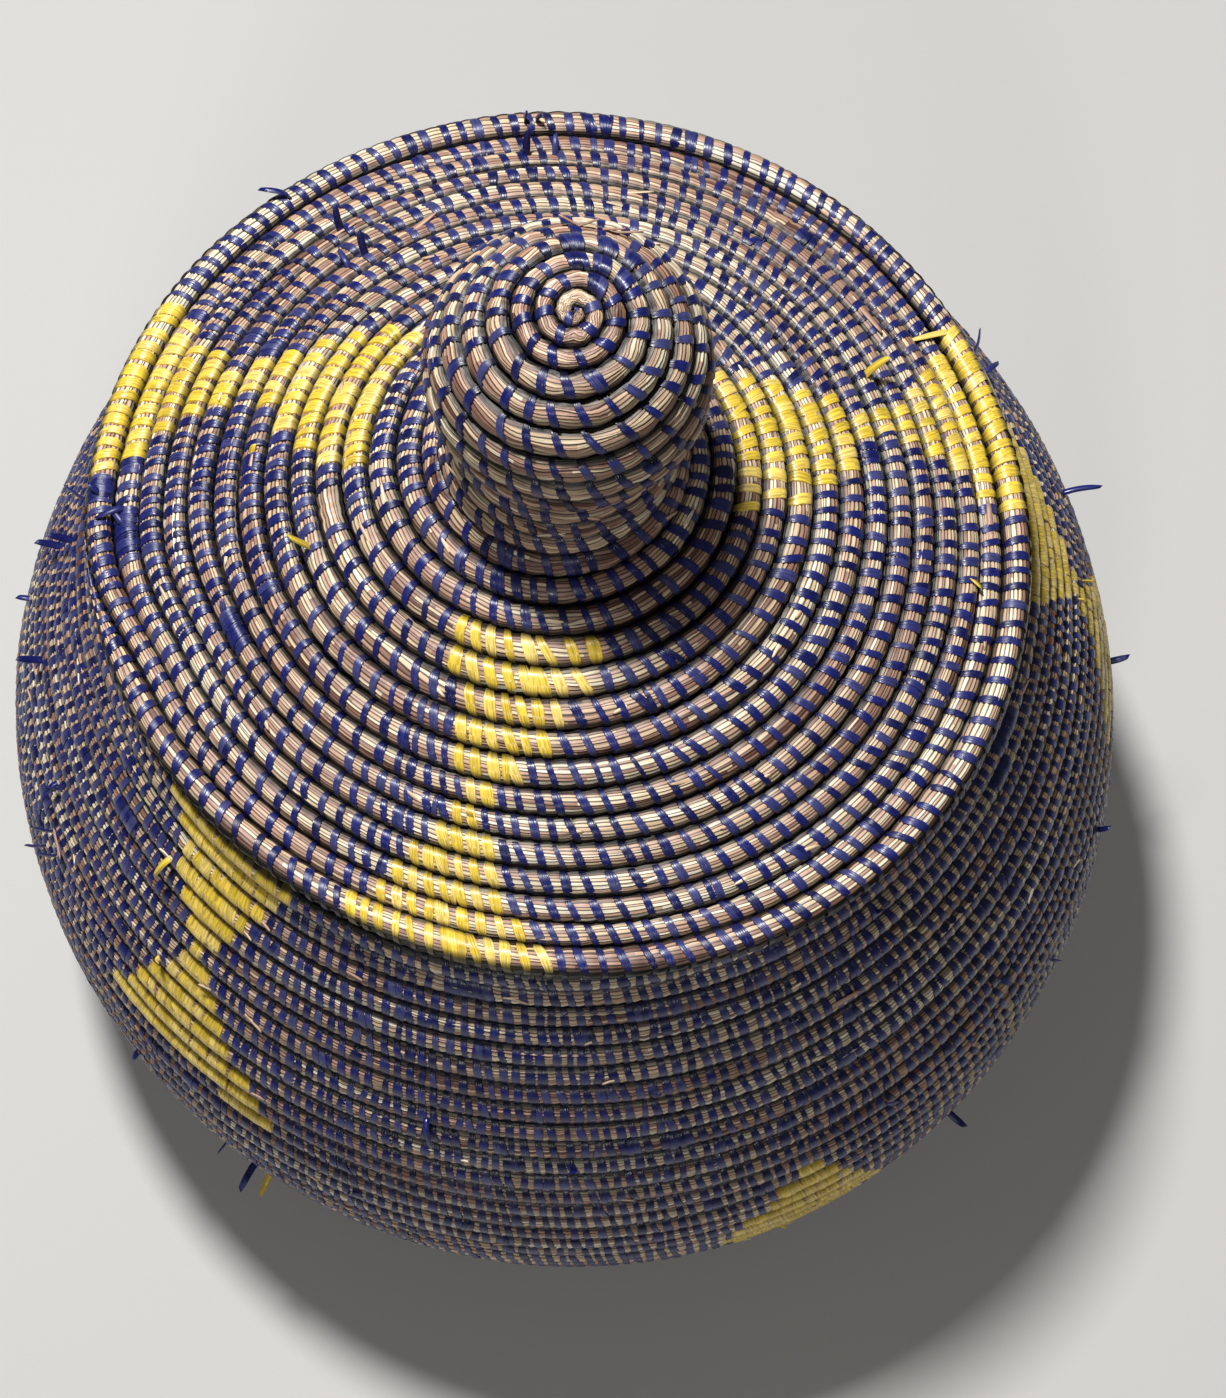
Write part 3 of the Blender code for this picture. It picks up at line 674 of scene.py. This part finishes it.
def band_layers(coil, rings, columns, owner, first, last, rng):
    """UV maps of a grass band, and the tone of each stalk."""
    rows = max(1, math.ceil(last - first))
    steps = np.diff(rings) * TAU * np.maximum(coil.radius(rings[1:]), 0.003)
    distance = np.concatenate(([0], np.cumsum(steps)))
    i, j = grid_corners(len(rings) - 1, columns, coil.handed < 0)
    around = j / columns
    row = np.floor(rings[i.min(2, keepdims=True)] - first + 1e-6).clip(0, rows - 1)
    bake_u = (rings[i] - first - row) / 1.04 + 0.004
    bake_v = (row + 0.04 + 0.92 * around) / rows
    tones = stalk_tones(len(rings) - 1, int(owner.max()) + 1, rings[:-1], rng)
    return {
        "fibre": ('UV', np.stack((distance[i], around * BUNDLE_GIRTH), -1)),
        "OFBake": ('UV', np.stack((bake_u, bake_v), -1)),
        "tone": ('FACE', tones[:, owner]),
    }


def strip_band(name, coil, table, bows, around, sizes, body, slot, seed):
    """The stitches of a band, each a flat strip right round the bundle, crowned a little across,
    narrower in the creases and pressed into the grass at its edges. Bows say how far the crest of
    each is pulled along."""
    rng = np.random.default_rng(seed)
    count = len(table)
    across = np.array((-0.5, -0.44, 0.0, 0.44, 0.5))
    crown = np.array((-0.9, 0.8, 1.0, 0.8, -0.9))
    angle = TAU * (np.arange(around)[:, None] + 0.5) / around
    side, up = coil.section(angle)
    deep = crease_share(side)
    turn, shift, width, lean, rise, tone = (table[:, k][:, None, None] for k in range(6))
    lift = sizes.strip_thickness * (crown + 0.8 * rise) * (1 - 0.5 * deep)
    lift = lift + 0.00007 * rng.normal(0, 1, (count, around, 1)) * (1 - deep)
    half_width = coil.half_width(turn) * 1.01 + lift
    half_bundle = coil.half_bundle(turn) + lift
    swell = 1 + 0.09 * rng.normal(0, 1, (count, 1, 1)) * np.cos(angle) - 0.3 * deep
    drift = rng.normal(0, 0.05, (count, 1, 1)) * np.sin(2 * angle) * coil.half_width(turn)
    along = shift + width * (across * swell + rng.normal(0, 0.012, (count, around, 1)))
    bow = bows[:, None, None] * (np.cos(angle) - 0.5)
    along = along + (lean * side + bow) * coil.half_width(turn) + drift
    points = coil.place(turn + 0 * along, along, half_width * side, half_bundle * up)
    each = around * len(across)
    one = grid_faces(around + 1, len(across), False, coil.handed > 0) % each
    i, j = grid_corners(around, len(across) - 1, coil.handed > 0)
    corner = np.stack((i / around, j / (len(across) - 1)), -1).reshape(-1, 4, 2)
    length = 4 * (np.mean(coil.half_width(turn)) + np.mean(coil.half_bundle(turn)))
    layers = {
        "fibre": ('UV', corner * (length, 0.003) + rng.random((count, 1, 1))[..., None]),
        "OFBake": ('UV', in_cells(corner, count, 0.06)),
        "tone": ('POINT', np.repeat(table[:, 5], each)),
        # painted shade: the strip material darkens by crease where the strip runs down into the crease
        # between rounds
        "crease": ('POINT', np.tile(np.repeat(deep, len(across)), count)),
    }
    quads = copies(one, count, each)
    return mesh_object(name, points, quads, layers, body, slot, (len(across), (1, 3)))


def weave(coil, bands, sizes, seams, motifs, per_stitch, around, body, seed):
    """All the bands of one winding, each in place of the CAD node of its name. Seams say how the strip
    is sewn: its width, lean and bow, the space between stitches, how uneven it is, where it is
    wrapped close, and how many more bare and close places there are."""
    rng = np.random.default_rng(seed)
    turns = stitch_turns(coil, seams, rng)
    table, yellow = dressed(coil, turns, motifs, seams, rng)
    columns = 2 * (sizes.outer_stalks + sizes.inner_stalks) + 2
    starts = [max(coil.rounds - start, 0.02) for _, start in bands]
    for number, ((node, _), first, last) in enumerate(zip(bands, starts, [*starts[1:], coil.rounds])):
        count = np.count_nonzero((turns >= first) & (turns < last))
        parts = math.ceil(count * 2 * max(per_stitch * columns, 1.1 * around * 4) / MOST_TRIANGLES)
        for part in range(parts):
            low = first + (last - first) * part / parts
            high = first + (last - first) * (part + 1) / parts
            suffix = f"_{part + 1}" if parts > 1 else ""
            own_seed = seed + 10 * number + part
            item = grass_band(f"{node}_grass{suffix}", coil, turns, low, high, per_stitch, sizes, body,
                              own_seed)
            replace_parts(item, node)
            inside = (table[:, 0] >= low) & (table[:, 0] < high)
            for colour, chosen in (("blue", ~yellow), ("yellow", yellow)):
                some = table[inside & chosen]
                if len(some):
                    bows = coil.round_about(some[:, 0], seams["bows"])
                    strip_band(f"{node}_{colour}{suffix}", coil, some, bows, around, sizes, body,
                               f"{colour}_strip", own_seed + 500)


# Loose ends

def crest_frame(coil, turn):
    """A point on the outside of a round, and the directions outwards and along the coil there."""
    half = coil.half_bundle(turn)
    root, out, along = (Vector(coil.place(turn, step, 0.0, half + lift))
                        for lift, step in ((0, 0), (0.001, 0), (0, 0.001)))
    return root, (out - root).normalized(), (along - root).normalized()


def sprung_end(coil, back, bearing, along_mm, aside_mm, out_mm):
    """Where a short end leaves its round, the directions outwards, along the coil and towards the
    round before, and its tip."""
    root, out, along = crest_frame(coil, near_turn(coil, back, bearing))
    aside = out.cross(along) * -coil.handed
    return root, out, along, aside, root + (along * along_mm + aside * aside_mm + out * out_mm) / 1000


def ribbon(root, out, along, tip, width, thickness, count=9):
    """Points of a flat strip that leaves a round squarely, bends over to its tip and is cut aslant."""
    middle = root + out * (tip - root).length * 0.42
    rows = []
    for step in range(count + 1):
        t = step / count
        place = root * (1 - t) ** 2 + middle * 2 * t * (1 - t) + tip * t * t
        ahead = ((middle - root) * (1 - t) + (tip - middle) * t).normalized()
        wide = (along - ahead * along.dot(ahead)).normalized()
        thin = ahead.cross(wide)
        half = width / 2 * (1 - 0.5 * t ** 6)
        edge = ahead * (half * 0.9 if step == count else 0)
        rows.append([place + wide * half * a + thin * thickness / 2 * b + edge * a
                     for a, b in ((-1, -1), (1, -1), (1, 1), (-1, 1))])
    return np.array(rows)


def ribbons_object(name, ribbons, body, slot):
    """Several ribbons as one piece."""
    count, rows = len(ribbons), len(ribbons[0])
    each = 4 * rows
    caps = np.array(((3, 2, 1, 0), (0, 1, 2, 3))) + [[0], [each - 4]]
    one = np.vstack((grid_faces(rows, 4, True, True), caps))
    corners = in_cells(np.stack((one // 4 / rows, one % 4 / 4), -1), count, 0.05)
    layers = {
        "fibre": ('UV', corners * (0.02, 0.012)),
        "OFBake": ('UV', corners),
        "tone": ('POINT', np.repeat(np.linspace(0.3, 0.9, count), each)),
        # no painted shade on loose ends: crease 0 and crest 1 leave their colour undarkened
        "crease": ('POINT', np.zeros(count * each)),
        "crest": ('POINT', np.ones(count * each)),
    }
    return mesh_object(name, ribbons, copies(one, count, each), layers, body, slot)


def loose_ends(coil, prefix, sizes, body):
    """A ribbon in the place of each of the solids' loose ends."""
    for node in filter(lambda node: node.startswith(prefix), frame["nodes"]):
        low, high = node_box(node)
        centre = (low + high) / 2
        bearing = math.degrees(math.atan2(centre.y, centre.x))
        frames = [crest_frame(coil, near_turn(coil, back, bearing)) for back in range(1, coil.rounds - 2)]
        root, out, along = min(frames, key=lambda place: (place[0] + place[1] * 0.005 - centre).length)
        tip = root + (centre - root) * 1.25 + along * 0.001
        rows = ribbon(root - out * 0.0006, out, along, tip, sizes.lid_strip * 0.9, RIBBON_THICKNESS)
        slot = "yellow_strip" if "_yellow_" in node else "blue_strip"
        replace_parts(ribbons_object(f"{node}_ribbon", [rows], body, slot), node)


def splinters(coil, name, places, count, body, seed):
    """Ends of stalks that have sprung loose: the given ones, and some small ones anywhere."""
    rng = np.random.default_rng(seed)
    few = [(rng.uniform(1, coil.rounds * 0.6), rng.uniform(-180, 180),
            rng.choice((-1, 1)) * rng.uniform(4, 9), rng.uniform(-1.5, 1.5), rng.uniform(0.2, 0.9))
           for _ in range(count)]
    rows = []
    for place in (*places, *few):
        root, out, along, aside, tip = sprung_end(coil, *place)
        start = (along * place[2]).normalized() * 0.3 + out * 0.02
        rows.append(ribbon(root - out * 0.0004, start, aside, tip, 0.0011 if abs(place[2]) < 10 else 0.0021,
                           STALK_THICKNESS))
    ribbons_object(name, rows, body, "grass_coil")


def tufts(coil, name, places, sizes, body, slot):
    """Short ends of strip that stand out of the stitching."""
    rows = []
    for place in places:
        root, out, along, aside, tip = sprung_end(coil, *place)
        wide = along if abs(place[2]) < abs(place[3]) else aside
        rows.append(ribbon(root - out * 0.0008, out * min(1, place[4] / 3), wide, tip, sizes.wall_strip * 0.7,
                           RIBBON_THICKNESS))
    ribbons_object(name, rows, body, slot)


# Materials

def add_node(tree, kind, output, settings, inputs):
    """One output of a new node with these settings, and at its inputs a socket or a value."""
    node = tree.nodes.new("ShaderNode" + kind)
    for name, value in settings.items():
        setattr(node, name, value)
    for name, source in inputs.items():
        if isinstance(source, bpy.types.NodeSocket):
            tree.links.new(source, node.inputs[name])
        else:
            node.inputs[name].default_value = source
    return node.outputs[output]


def new_material(name):
    """A new material's tree of nodes and its shader."""
    material = bpy.data.materials.new(name)
    material.use_nodes = True
    return material.node_tree, material.node_tree.nodes["Principled BSDF"]


def ramp(tree, source, stops):
    """A colour for each share from 0 to 1."""
    colours = add_node(tree, "ValToRGB", "Color", {}, {"Fac": source})
    elements = colours.node.color_ramp.elements
    while len(elements) < len(stops):
        elements.new(0.5)
    for element, (place, colour) in zip(elements, stops):
        element.position = place
        element.color = colour
    return colours


def attribute(tree, name):
    """A value that the mesh has for each point or face."""
    return add_node(tree, "Attribute", "Fac", {"attribute_name": name}, {})


def noise(tree, along, across, detail, roughness):
    """Noise on the fibre map, so many to a metre along it and across it."""
    fibre = add_node(tree, "UVMap", "UV", {"uv_map": "fibre"}, {})
    place = add_node(tree, "Mapping", "Vector", {}, {"Vector": fibre, "Scale": (along, across, 1)})
    return add_node(tree, "TexNoise", "Fac", {"noise_dimensions": '2D'},
                    {"Vector": place, "Scale": 1.0, "Detail": detail, "Roughness": roughness})


def spread(tree, source, low, high, start=0.0, end=1.0):
    """A value that goes from low to high while its source goes from start to end."""
    return add_node(tree, "MapRange", "Result", {}, {"Value": source, "From Min": start, "From Max": end,
                                                     "To Min": low, "To Max": high})


def finish_shader(tree, shader, colour, shares, gloss, relief, strength, ior):
    """The colour times its shares, the roughness, fine relief and the refractive index."""
    share = shares[0]
    for other in shares[1:]:
        share = add_node(tree, "Math", "Value", {"operation": 'MULTIPLY'}, {0: share, 1: other})
    shaded = add_node(tree, "VectorMath", "Vector", {"operation": 'SCALE'}, {0: colour, "Scale": share})
    bump = add_node(tree, "Bump", "Normal", {},
                    {"Height": relief, "Strength": strength, "Distance": RELIEF_DEPTH})
    for name, source in (("Base Color", shaded), ("Roughness", gloss), ("Normal", bump)):
        tree.links.new(source, shader.inputs[name])
    shader.inputs["IOR"].default_value = ior


def dried_grass():
    """Sun-dried grass in a tight bundle: each stalk its own tan, straw or brown, with fine streaks, a
    waxy skin that glints a little, and painted shade that darkens the grooves between stalks and
    the creases between rounds."""
    tree, shader = new_material("dried_grass_bundle")
    # streaks 0.3 mm wide and 25 mm long, and blotches 11 mm long where a stalk is stained or bruised
    streak = noise(tree, 40, 3300, 2.0, 0.6)
    blotch = noise(tree, 90, 900, 3.0, 0.55)
    stops = ((0.05, "#6A4636"), (0.24, "#AE8470"), (0.44, "#CFA88D"), (0.66, "#E9CDA6"), (0.88, "#FBEDD0"))
    stalk = ramp(tree, attribute(tree, "tone"), [(place, linear(code)) for place, code in stops])
    shares = (spread(tree, streak, 0.55, 1.22, 0.25, 0.75), spread(tree, blotch, 0.8, 1.0, 0.3, 0.5),
              # painted shade: near black in the grooves between stalks (crest) and where two rounds touch
              # (crease)
              spread(tree, attribute(tree, "crest"), 0.02, 1.0, 0.06, 0.5),
              spread(tree, attribute(tree, "crease"), 1.0, 0.03))
    finish_shader(tree, shader, stalk, shares, spread(tree, streak, 0.55, 0.36), streak, 0.6, 1.5)


def tinted(colour, share):
    """A colour moved towards black for a share under zero, or towards white for one above."""
    return tuple(v * (1 + share) if share < 0 else v + (1 - v) * share for v in colour[:3]) + (1.0,)


def plastic_strip(name, plain, dark, pale):
    """Flat polypropylene strip, drawn out in the making: glossy, with fine lines along it and, from
    stitch to stitch, slightly more or less faded, with painted shade where it runs into the creases."""
    tree, shader = new_material(name)
    # draw lines 0.25 mm apart and 20 mm long, and dull scuffs about 2 mm across
    lines = noise(tree, 50, 4000, 2.0, 0.5)
    scuffs = noise(tree, 500, 500, 2.0, 0.5)
    faded = ramp(tree, attribute(tree, "tone"), ((0.0, tinted(plain, dark)), (0.5, tinted(plain, 0)),
                                                 (1.0, tinted(plain, pale))))
    # painted shade: the strip darkens where it runs down into the crease between two rounds
    shares = (spread(tree, lines, 0.66, 1.34, 0.3, 0.7), spread(tree, attribute(tree, "crease"), 1.0, 0.12))
    finish_shader(tree, shader, faded, shares, spread(tree, scuffs, 0.24, 0.42, 0.35, 0.65), lines, 0.7, 1.49)


def materials():
    """The three materials by slot, made once."""
    names = {"grass_coil": "dried_grass_bundle", "blue_strip": "blue_strip_drawn",
             "yellow_strip": "yellow_strip_drawn"}
    if names["grass_coil"] not in bpy.data.materials:
        colours = bpy.context.scene.basket_colours
        dried_grass()
        plastic_strip(names["blue_strip"], colours.blue, -0.5, 0.035)
        plastic_strip(names["yellow_strip"], colours.yellow, -0.18, 0.1)
    return {slot: bpy.data.materials[name] for slot, name in names.items()}


# Windings

def body_coil(sizes):
    line = body_line()
    length = line_length(line)
    count = round(length / sizes.wall_round)
    return Coil(line, 1, np.full(count, length / count), [sizes.wall_bundle], BODY_START, 1, bend_body, 5)


def lid_coil(sizes):
    line = lid_line(sizes)
    length = line_length(line)
    count = round((length - 4.4 * sizes.crown_round) / sizes.lid_round)
    crown = np.array(CROWN_PITCH_SHARES) * (length - count * sizes.lid_round) / sum(CROWN_PITCH_SHARES)
    pitches = [*crown, *[sizes.lid_round] * count]
    bundles = np.linspace(sizes.crown_bundle, sizes.lid_bundle, len(crown) + 2)
    return Coil(line, -1, pitches, bundles, LID_START, -1, bend_lid, 8, jog=0.06)


def collar_coil(sizes):
    """The short rounds under the brim, bent as the mouth is that they drop into."""
    low, high = node_box("locating_ring")
    height = high.z - low.z
    line = collar_line()
    rounds = max(2, round(height / sizes.lid_round))
    bundle = 2 * (high.x - line[0][0]) - 2 * sizes.strip_thickness
    return Coil(line, -1, np.full(rounds, height / rounds), [bundle], 0, -1, bend_body, 3, level=1)


class BASKET_OT_body(bpy.types.Operator):
    """Wind the body's coil from the base to the mouth and stitch it"""
    bl_idname = "basket.body"
    bl_label = "Weave Body"

    def execute(self, context):
        sizes = context.scene.basket_sizes
        coil = body_coil(sizes)
        seams = {"space": sizes.wall_stitch, "shares": BODY_STITCH_SHARES, "width": sizes.wall_strip,
                 "around": ((0, 1),), "leans": ((0, -0.11),), "bows": ((0, 0.1),),
                 "yellow": 1.7, "uneven": 0.035, "wraps": WALL_WRAPS, "bare": 5, "dense": 9}
        weave(coil, BODY_BANDS, sizes, seams, BODY_MOTIFS, 2, 14, "basket", 100)
        return {'FINISHED'}


class BASKET_OT_lid(bpy.types.Operator):
    """Wind the lid's coil from the knob's crown to the rim and stitch it"""
    bl_idname = "basket.lid"
    bl_label = "Weave Lid"

    def execute(self, context):
        sizes = context.scene.basket_sizes
        coil = lid_coil(sizes)
        seams = {"space": sizes.lid_stitch, "shares": LID_STITCH_SHARES, "width": sizes.lid_strip,
                 "around": LID_AROUND_SHARES, "leans": LID_LEANS, "bows": LID_BOWS,
                 "yellow": 1.32, "uneven": 0.05, "wraps": LID_WRAPS, "bare": 2, "dense": 4}
        weave(coil, LID_BANDS, sizes, seams, LID_MOTIFS, 4, 20, "lid", 300)
        seams = {**seams, "shares": ((0, 1), (1, 1)), "wraps": (), "bare": 0, "dense": 0}
        weave(collar_coil(sizes), COLLAR_BANDS, sizes, seams, (), 3, 14, "lid", 700)
        return {'FINISHED'}


class BASKET_OT_ends(bpy.types.Operator):
    """Add the loose ends of the strip that stand out of the wall and the lid"""
    bl_idname = "basket.ends"
    bl_label = "Add Loose Ends"

    def execute(self, context):
        sizes = context.scene.basket_sizes
        body = body_coil(sizes)
        lid = lid_coil(sizes)
        loose_ends(body, "wall_", sizes, "basket")
        loose_ends(lid, "lid_", sizes, "lid")
        tufts(body, "wall_tufts_blue", WALL_TUFTS, sizes, "basket", "blue_strip")
        tufts(body, "wall_tufts_yellow", WALL_YELLOW_TUFTS, sizes, "basket", "yellow_strip")
        tufts(lid, "lid_tufts_blue", LID_TUFTS, sizes, "lid", "blue_strip")
        tufts(lid, "lid_tufts_yellow", LID_YELLOW_TUFTS, sizes, "lid", "yellow_strip")
        splinters(body, "wall_splinters", WALL_SPLINTERS, 90, "basket", 31)
        splinters(lid, "lid_splinters", LID_SPLINTERS, 60, "lid", 32)
        return {'FINISHED'}


class BASKET_OT_stage(bpy.types.Operator):
    """Add the floor, the lamps, the world and the camera"""
    bl_idname = "basket.stage"
    bl_label = "Set Stage"

    def execute(self, context):
        scene = context.scene
        add_floor(scene.basket_colours.floor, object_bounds()[0][2])
        add_lamps(scene)
        add_camera(scene)
        scene.view_settings.view_transform = 'Standard'
        return {'FINISHED'}


def add_floor(colour, height):
    """A plain floor at the height that the lowest stitch reaches."""
    bpy.ops.mesh.primitive_plane_add(size=6, location=(0, 0, height))
    floor = bpy.context.object
    floor.name = "floor"
    _, shader = new_material("plain_floor")
    shader.inputs["Base Color"].default_value = colour
    shader.inputs["Roughness"].default_value = 0.9
    floor.data.materials.append(bpy.data.materials["plain_floor"])
    floor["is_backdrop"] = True


def add_lamps(scene):
    """A key high at the back left, a fill from the front and a dim room that the camera sees pale."""
    aim = Vector(LAMPS_AIM)
    for name, bearing, height, distance, width, power in LAMPS:
        lamp = bpy.data.lights.new(name, 'AREA')
        lamp.shape = 'DISK'
        lamp.size = width
        lamp.energy = power
        item = placed(name, lamp)
        across, up = step_from((0, 0), distance, math.radians(height))
        item.location = aim + Vector((*step_from((0, 0), across, math.radians(bearing)), up))
        item.rotation_euler = (aim - item.location).to_track_quat('-Z', 'Y').to_euler()
    world = bpy.data.worlds.new("soft_room")
    world.use_nodes = True
    scene.world = world
    sky = world.node_tree.nodes["Background"]
    sky.inputs["Color"].default_value = (1, 1, 1, 1)
    seen = add_node(world.node_tree, "LightPath", "Is Camera Ray", {}, {})
    level = spread(world.node_tree, seen, ROOM_STRENGTH, ROOM_STRENGTH_SEEN)
    world.node_tree.links.new(level, sky.inputs["Strength"])


def add_camera(scene):
    """The photograph's view, worked out from the outlines of the lid and the body."""
    camera = bpy.data.cameras.new("camera")
    camera.sensor_width = SENSOR_WIDTH
    camera.lens = SENSOR_WIDTH * FOCAL_LENGTH / PHOTO_HEIGHT
    item = placed("camera", camera)
    x, y, above_rim = CAMERA_PLACE
    item.location = (x, y, ring_middle("rim_coil")[1] + above_rim)
    item.rotation_euler = (math.radians(90 - CAMERA_DIP), 0, 0)
    scene.camera = item


class BASKET_PT_panel(bpy.types.Panel):
    """Basket tools in the sidebar"""
    bl_label = "Basket"
    bl_space_type = 'VIEW_3D'
    bl_region_type = 'UI'
    bl_category = "Basket"

    def draw(self, context):
        for group in (context.scene.basket_sizes, context.scene.basket_colours):
            for name in group.__annotations__:
                self.layout.prop(group, name)
        for step in STEPS:
            self.layout.operator(step.bl_idname)


STEPS = (BASKET_OT_body, BASKET_OT_lid, BASKET_OT_ends, BASKET_OT_stage)
CLASSES = (BasketSizes, BasketColours, *STEPS, BASKET_PT_panel)


def register():
    for item in CLASSES:
        bpy.utils.register_class(item)
    bpy.types.Scene.basket_sizes = PointerProperty(type=BasketSizes)
    bpy.types.Scene.basket_colours = PointerProperty(type=BasketColours)


def unregister():
    del bpy.types.Scene.basket_sizes
    del bpy.types.Scene.basket_colours
    for item in reversed(CLASSES):
        bpy.utils.unregister_class(item)


def main():
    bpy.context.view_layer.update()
    register()
    bpy.ops.basket.body()
    bpy.ops.basket.lid()
    bpy.ops.basket.ends()
    bpy.ops.basket.stage()


if __name__ == "__main__":
    main()
